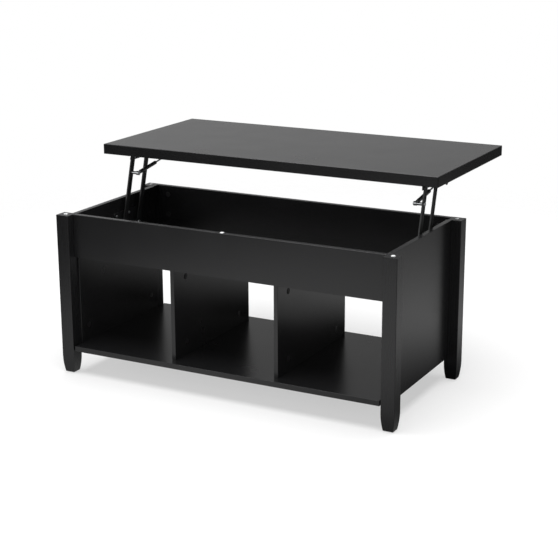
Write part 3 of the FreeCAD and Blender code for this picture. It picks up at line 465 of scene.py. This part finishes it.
FRONT_LEFT, BACK_RIGHT = (-0.46, -0.88, 0.0), (0.46, 0.88, 0.0)
RIGHT_FRONT, LEFT_BACK = (0.88, -0.46, 0.0), (-0.88, 0.46, 0.0)
FLOOR_RADIUS = 2.7
FADE_FROM, FADE_TO = 1.6, 2.6
RAMP_SPAN = 2.8
# Where the floor's painted pool of light lies, and the levels of the painted front pool and painted back
# ring, each a distance and a grey.
PAINTED_POOL_MIDDLE = (-0.1, -1.2, 0.0)
PAINTED_FRONT_POOL = ((0.4, 1.0), (0.7, 0.7), (0.95, 0.4), (1.2, 0.0))
PAINTED_BACK_RING = ((0.5, 0.0), (0.9, 0.62), (1.4, 0.4), (2.0, 0.22), (2.7, 0.2))


def run_through(tree, value, stops, span):
    """Turns a value into a grey that runs through stops, each a place and a level."""
    part_way = add_node(tree, "ShaderNodeMath", {"operation": "DIVIDE", 1: span}, {0: value}).outputs[0]
    ramp = add_node(tree, "ShaderNodeValToRGB", {}, {"Fac": part_way})
    while len(ramp.color_ramp.elements) < len(stops):
        ramp.color_ramp.elements.new(0.5)
    for stop, (place, level) in zip(ramp.color_ramp.elements, stops):
        stop.position, stop.color = place / span, (level, level, level, 1.0)
    return ramp.outputs["Color"]


# White floor that glows evenly to look at, half matt so that shadows on it show pale. Rays other than the
# camera's see instead a painted pool of light in front and a weaker painted ring behind, with darkness
# beyond, which the table's gloss reflects.
white_board, tree = new_finish("white acrylic, lit from below")
here = add_node(tree, "ShaderNodeTexCoord", {}, {}).outputs["Object"]
away = add_node(tree, "ShaderNodeVectorMath", {"operation": "LENGTH"}, {0: here}).outputs["Value"]
edge = add_node(tree, "ShaderNodeMapRange", {
    "interpolation_type": "SMOOTHSTEP", "From Min": FADE_FROM, "From Max": FADE_TO}, {
    "Value": away}).outputs["Result"]
cloud = add_node(tree, "ShaderNodeTexNoise", {"Scale": 1 / 0.02, "Detail": 2.0}, {"Vector": here})
tone = add_node(tree, "ShaderNodeMix", {"data_type": "RGBA", 6: linear("#f4f4f4"), 7: linear("#f7f7f7")}, {
    0: cloud.outputs["Fac"]})
matt = add_node(tree, "ShaderNodeBsdfDiffuse", {}, {"Color": tone.outputs[2]})
glow = add_node(tree, "ShaderNodeEmission", {"Strength": 1.04}, {})
lit = add_node(tree, "ShaderNodeMixShader", {0: 0.5}, {1: matt.outputs[0], 2: glow.outputs[0]})
bearing = add_node(tree, "ShaderNodeVectorMath", {"operation": "NORMALIZE"}, {0: here}).outputs["Vector"]
side = add_node(tree, "ShaderNodeVectorMath", {"operation": "DOT_PRODUCT", 1: FRONT_LEFT}, {0: bearing})
frontness = add_node(tree, "ShaderNodeMapRange", {"From Min": -1.0, "From Max": 1.0}, {
    "Value": side.outputs["Value"]})
# Painted light: a pool of light painted on the floor in front of the table and a ring painted behind it.
from_pool = add_node(tree, "ShaderNodeVectorMath", {"operation": "DISTANCE", 1: PAINTED_POOL_MIDDLE}, {
    0: here}).outputs["Value"]
painted_front_pool = run_through(tree, from_pool, PAINTED_FRONT_POOL, RAMP_SPAN)
painted_back_ring = run_through(tree, away, PAINTED_BACK_RING, RAMP_SPAN)
painted_pool_and_ring = add_node(tree, "ShaderNodeMix", {"data_type": "RGBA"}, {
    0: frontness.outputs["Result"], 6: painted_back_ring, 7: painted_front_pool})
# The painted pool and ring are given out as emission, a painted glow and not a lamp.
painted_pool_glow = add_node(tree, "ShaderNodeEmission", {}, {"Color": painted_pool_and_ring.outputs[2]})
direct = add_node(tree, "ShaderNodeLightPath", {}, {}).outputs["Is Camera Ray"]
clear = add_node(tree, "ShaderNodeBsdfTransparent", {}, {})
faded = add_node(tree, "ShaderNodeMixShader", {}, {0: edge, 1: lit.outputs[0], 2: clear.outputs[0]})
# The camera sees the plain white floor. Reflections and bounce light see only the painted pool and ring.
either = add_node(tree, "ShaderNodeMixShader", {}, {0: direct, 1: painted_pool_glow.outputs[0], 2: faded.outputs[0]})
add_node(tree, "ShaderNodeOutputMaterial", {}, {"Surface": either.outputs[0]})

floor_form = bmesh.new()
bmesh.ops.create_circle(floor_form, cap_ends=True, segments=96, radius=FLOOR_RADIUS)
floor_mesh = bpy.data.meshes.new("floor")
floor_form.to_mesh(floor_mesh)
floor_form.free()
floor_mesh.materials.append(white_board)
floor = bpy.data.objects.new("floor", floor_mesh)
bpy.context.collection.objects.link(floor)


def soft_box(name, place, aim, width, height, watts):
    """A broad area light at a place, facing a point."""
    lamp = bpy.data.lights.new(name, "AREA")
    lamp.shape, lamp.size, lamp.size_y, lamp.energy = "RECTANGLE", width, height, watts
    box = bpy.data.objects.new(name, lamp)
    turn = (Vector(aim) - Vector(place)).to_track_quat("-Z", "Y")
    box.matrix_world = Matrix.Translation(place) @ turn.to_matrix().to_4x4()
    bpy.context.collection.objects.link(box)


soft_box("overhead box", (0.0, 0.0, 3.2), (0.0, 0.0, 0.0), 3.6, 3.6, 190.0)

# Four broad walls of lit cloth stand round the table. Each has the way it stands in, its light at
# floor level and its light at CLOTH_MIDDLE. Heights run from 0, level, to 1, straight overhead.
CLOTH_MIDDLE, CLOTH_TOP = 0.35, 0.8
WALLS = ((FRONT_LEFT, 0.68, 1.5), (BACK_RIGHT, 0.54, 0.0), (RIGHT_FRONT, 0.0, 0.85), (LEFT_BACK, 0.78, 0.45))
surround = bpy.data.worlds.new("white surround")
surround.use_nodes = True
tree = surround.node_tree
tree.nodes.clear()
eye = add_node(tree, "ShaderNodeLightPath", {}, {}).outputs["Is Camera Ray"]
seen = add_node(tree, "ShaderNodeBackground", {"Color": (1, 1, 1, 1), "Strength": 1.0}, {})
way = add_node(tree, "ShaderNodeTexCoord", {}, {}).outputs["Generated"]
rise = add_node(tree, "ShaderNodeSeparateXYZ", {}, {"Vector": way}).outputs["Z"]
flattened = add_node(tree, "ShaderNodeVectorMath", {"operation": "MULTIPLY", 1: (1, 1, 0)}, {
    0: way}).outputs["Vector"]
level_way = add_node(tree, "ShaderNodeVectorMath", {"operation": "NORMALIZE"}, {
    0: flattened}).outputs["Vector"]
total = add_node(tree, "ShaderNodeValue", {}, {}).outputs["Value"]
for towards, low, high in WALLS:
    facing = add_node(tree, "ShaderNodeVectorMath", {"operation": "DOT_PRODUCT", 1: towards}, {
        0: level_way}).outputs["Value"]
    ahead = add_node(tree, "ShaderNodeMath", {"operation": "MAXIMUM", 1: 0.0}, {0: facing}).outputs[0]
    share = add_node(tree, "ShaderNodeMath", {"operation": "POWER", 1: 2.0}, {0: ahead}).outputs[0]
    cloth = add_node(tree, "ShaderNodeMapRange", {"From Max": CLOTH_MIDDLE, "To Min": low, "To Max": high}, {
        "Value": rise})
    total = add_node(tree, "ShaderNodeMath", {"operation": "MULTIPLY_ADD"}, {
        0: cloth.outputs["Result"], 1: share, 2: total}).outputs[0]
thinning = add_node(tree, "ShaderNodeMapRange", {
    "From Min": CLOTH_MIDDLE, "From Max": CLOTH_TOP, "To Min": 1.0, "To Max": 0.0}, {"Value": rise})
skyline = add_node(tree, "ShaderNodeMapRange", {"From Min": -0.01, "From Max": 0.01, "To Min": 0.08}, {
    "Value": rise})
shown = add_node(tree, "ShaderNodeMath", {"operation": "MULTIPLY"}, {
    0: thinning.outputs["Result"], 1: skyline.outputs["Result"]})
cloth_light = add_node(tree, "ShaderNodeMath", {"operation": "MULTIPLY"}, {0: total, 1: shown.outputs[0]})
cast = add_node(tree, "ShaderNodeBackground", {"Color": (1, 1, 1, 1)}, {"Strength": cloth_light.outputs[0]})
both = add_node(tree, "ShaderNodeMixShader", {}, {0: eye, 1: cast.outputs[0], 2: seen.outputs[0]})
add_node(tree, "ShaderNodeOutputWorld", {}, {"Surface": both.outputs[0]})
bpy.context.scene.world = surround
bpy.context.scene.view_settings.view_transform = "Standard"

# The camera stands to the front and right, a little over three metres off, looking down on the table.
CAMERA_STAND = (1.8217, -3.4602, 1.3732)
CAMERA_TURN, CAMERA_DIP, CAMERA_ROLL = 27.898, 16.029, -0.234
lens = bpy.data.cameras.new("camera")
lens.sensor_width, lens.lens = 36.0, 90.9
camera = bpy.data.objects.new("camera", lens)
turned = Matrix.Rotation(math.radians(CAMERA_TURN), 4, "Z")
tilted = Matrix.Rotation(math.radians(90 - CAMERA_DIP), 4, "X")
rolled = Matrix.Rotation(math.radians(CAMERA_ROLL), 4, "Z")
camera.matrix_world = Matrix.Translation(CAMERA_STAND) @ turned @ tilted @ rolled
bpy.context.collection.objects.link(camera)
bpy.context.scene.camera = camera
